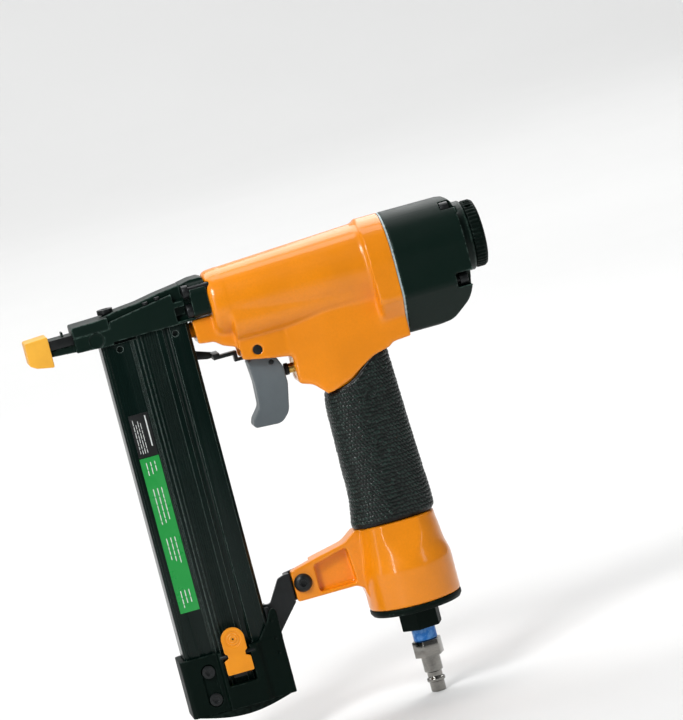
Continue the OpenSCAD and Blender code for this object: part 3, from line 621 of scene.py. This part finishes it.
# each node with the width in millimetres of the bevel on its edges
for node_name, bevel in (
        ("magazine_rail", 0.25), ("magazine_door", 0.45), ("air_plug", 0.25), ("cap_screws", 0.25),
        ("bracket_screw", 0.15), ("bracket_nut", 0.3), ("end_cap_screws", 0.2),
        ("nose_cover_screws", 0.25), ("nose_bolts", 0.3), ("contact_foot", 0.12),
        ("contact_arm", 0.2), ("trigger_pin", 0.3), ("lever_pin", 0.2), ("stem_button", 0.3),
        ("valve_stem", 0.15), ("valve_bush", 0.15), ("base_pad", 0.5), ("deflector_screw", 0.25),
        ("trip_lever", 0.2), ("strap_rivets", 0.15), ("latch_pin", 0.15), ("pusher", 0.2),
        ("cylinder_sleeve", 0.15), ("piston", 0.2), ("head_valve", 0.2)):
    machined(node_name, node_name + "_finished", bevel)


# ---------------------------------------------------------------- the latch's rings and the labels' bars
def revolved(name, profile, centre, axis, sides=48):
    """A ring turned about an axis: the profile's points are (radius, height along the axis), closed."""
    toward, outward = turned_about(axis)
    grid = [[Vector(centre) + outward(2 * math.pi * i / sides) * r + toward * h for r, h in profile]
            for i in range(sides)]
    mesh = mesh_of(name, np.array(grid))
    with editing(mesh) as bm:
        face_outward(bm)
    return linked(name, mesh)


def build_latch_rings():
    """Two moulded rings and a centre pip in the latch's round dimple."""
    low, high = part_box("latch")
    middle = ((low[0] + high[0]) / 2 / MM, DIMPLE_Y, LATCH_PAD_Z)
    half, top, root = 0.22, 0.26, -0.12
    for index, radius in enumerate((3.0, 1.7)):
        profile = [(radius - half, root), (radius - half * 0.7, top * 0.7), (radius, top),
                   (radius + half * 0.7, top * 0.7), (radius + half, root)]
        add_piece(revolved("latch_ring_%d" % index, profile, middle, (0, -1, 0)), "latch")
    pip = [(0.02, root), (0.02, 0.3), (0.3, 0.28), (0.5, 0.1), (0.52, root)]
    add_piece(revolved("latch_pip", pip, middle, (0, -1, 0)), "latch", "black_plastic")


build_latch_rings()


def build_label_bars():
    """Plain bars where a maker would print its labels: they stand for print and say nothing."""
    gap, shortest, longest = 0.55, 1.6, 4.2
    bm = bmesh.new()
    black_low, black_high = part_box("name_label")
    green_low, green_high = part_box("size_label")
    face_y = green_low[1]
    rng = random.Random(3)

    def bar(x, z_low, z_high, width):
        size = (width * MM, 0.03 * MM, z_high - z_low)
        centre = (x, face_y - 0.006 * MM, (z_low + z_high) / 2)
        place = Matrix.Translation(centre) @ Matrix.Diagonal((*size, 1.0))
        bmesh.ops.create_cube(bm, size=1.0, matrix=place)

    def dashes(x, z_low, z_high, width):
        """A row of short bars with gaps between them."""
        z = z_high
        while z > z_low + 1.0 * MM:
            end = max(z_low, z - rng.uniform(shortest, longest) * MM)
            bar(x, end, z, width)
            z = end - gap * MM

    bar(black_high[0] - 1.9 * MM, black_low[2] + 5 * MM, black_high[2] - 1.5 * MM, 0.65)
    for i in range(4):
        dashes(black_low[0] + (1.6 + 1.25 * i) * MM, black_low[2] + 2.0 * MM,
               black_high[2] - rng.uniform(1.5, 6.0) * MM, 0.3)
    groups = [(0.03, 0.14), (0.3, 0.48), (0.55, 0.8), (0.88, 0.97)]
    span = green_high[2] - green_low[2]
    for low, high in groups:
        for x in (3.0, 5.2, 7.4):
            trim = rng.uniform(0.0, 0.03)
            dashes(green_low[0] + x * MM, green_low[2] + (low + trim) * span,
                   green_low[2] + high * span, 0.4)
    mesh = bpy.data.meshes.new("label_bars")
    bm.to_mesh(mesh)
    bm.free()
    obj = linked("label_bars", mesh)
    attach(obj, "magazine_cover")
    mesh.materials.append(MATERIALS["label_ink"])


build_label_bars()


# ---------------------------------------------------------------- floor, light and camera
def build_stage():
    """A pale floor that curves up into a wall behind."""
    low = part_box("air_plug")[0][2]
    half_width, front, bend, radius, wall_top = 6.0, -6.0, 3.4, 1.2, 7.0
    steps = 16
    points = [(front, 0.0), (bend, 0.0)]
    for i in range(1, steps + 1):
        a = math.pi / 2 * i / steps
        points.append((bend + radius * math.sin(a), radius * (1 - math.cos(a))))
    points.append((bend + radius, wall_top))
    mesh = bpy.data.meshes.new("sweep")
    verts = [(x, y, low + z) for y, z in points for x in (-half_width, half_width)]
    faces = [(2 * i, 2 * i + 1, 2 * i + 3, 2 * i + 2) for i in range(len(points) - 1)]
    mesh.from_pydata(verts, [], faces)
    for face in mesh.polygons:
        face.use_smooth = True
    g = Graph("sweep_paper")
    g.colour(g.mix(g.noise(3.0, 3.0), (0.74, 0.74, 0.735), (0.78, 0.78, 0.775)))
    g.rough(g.remap(g.noise(9.0, 3.0), *NOISE_SPAN, 0.75, 0.9))
    mesh.materials.append(g.material)
    linked("sweep", mesh)


def area_light(name, place, aim, size, power, spread=180):
    """A rectangular lamp: size in metres, power in watts, spread in degrees."""
    light = bpy.data.lights.new(name, "AREA")
    light.shape = "RECTANGLE"
    light.size, light.size_y = size
    light.energy = power
    light.spread = math.radians(spread)
    obj = linked(name, light)
    obj.location = place
    obj.rotation_euler = (Vector(aim) - Vector(place)).to_track_quat("-Z", "Y").to_euler()


def build_lights():
    middle = (0.12, 0.0, -0.09)
    area_light("key", (-0.6, -1.05, 1.15), middle, (0.55, 0.55), 2.05, spread=60)
    area_light("tall_strip", (-0.66, -1.04, 0.12), middle, (0.1, 1.5), 5.0)
    area_light("fill", (1.3, -1.2, 0.5), middle, (0.3, 0.9), 0.25, spread=60)
    area_light("top", (0.15, 0.1, 1.3), middle, (1.1, 0.4), 0.6, spread=70)
    area_light("back_rim", (0.7, 1.0, 0.7), middle, (1.0, 0.5), 4)
    area_light("front_strip", (-1.1, -0.3, 0.1), middle, (0.15, 1.2), 1.0)
    area_light("backdrop_light", (0.1, 2.0, 2.4), (0.1, 2.5, -0.2), (4.0, 2.6), 118)
    world = bpy.data.worlds.new("studio")
    world.use_nodes = True
    back = world.node_tree.nodes["Background"]
    back.inputs[0].default_value = (0.93, 0.96, 1.0, 1.0)
    back.inputs[1].default_value = 0.12
    bpy.context.scene.world = world


def build_camera():
    """A long lens square to the tool's side, turned a little to the front, above it and rolled."""
    azimuth, elevation, roll = (math.radians(v) for v in (-6.5, 7.0, 14.7))
    distance = 3.0
    sensor = 36.0
    view_height = 0.3773
    aim = Vector((0.1591, 0.0, -0.0462))
    across = Vector((math.cos(azimuth), math.sin(azimuth), 0))
    back = Vector((math.sin(azimuth) * math.cos(elevation), -math.cos(azimuth) * math.cos(elevation),
                   math.sin(elevation)))
    upright = back.cross(across)
    right = across * math.cos(roll) - upright * math.sin(roll)
    up = across * math.sin(roll) + upright * math.cos(roll)
    data = bpy.data.cameras.new("camera")
    data.sensor_width = sensor
    data.lens = sensor * distance / view_height
    data.clip_end = 100.0
    camera = linked("camera", data)
    turn = Matrix((right, up, back)).transposed().to_4x4()
    turn.translation = aim + back * distance
    camera.matrix_world = turn
    bpy.context.scene.camera = camera


build_stage()
build_lights()
build_camera()
bpy.context.scene.view_settings.view_transform = "Standard"
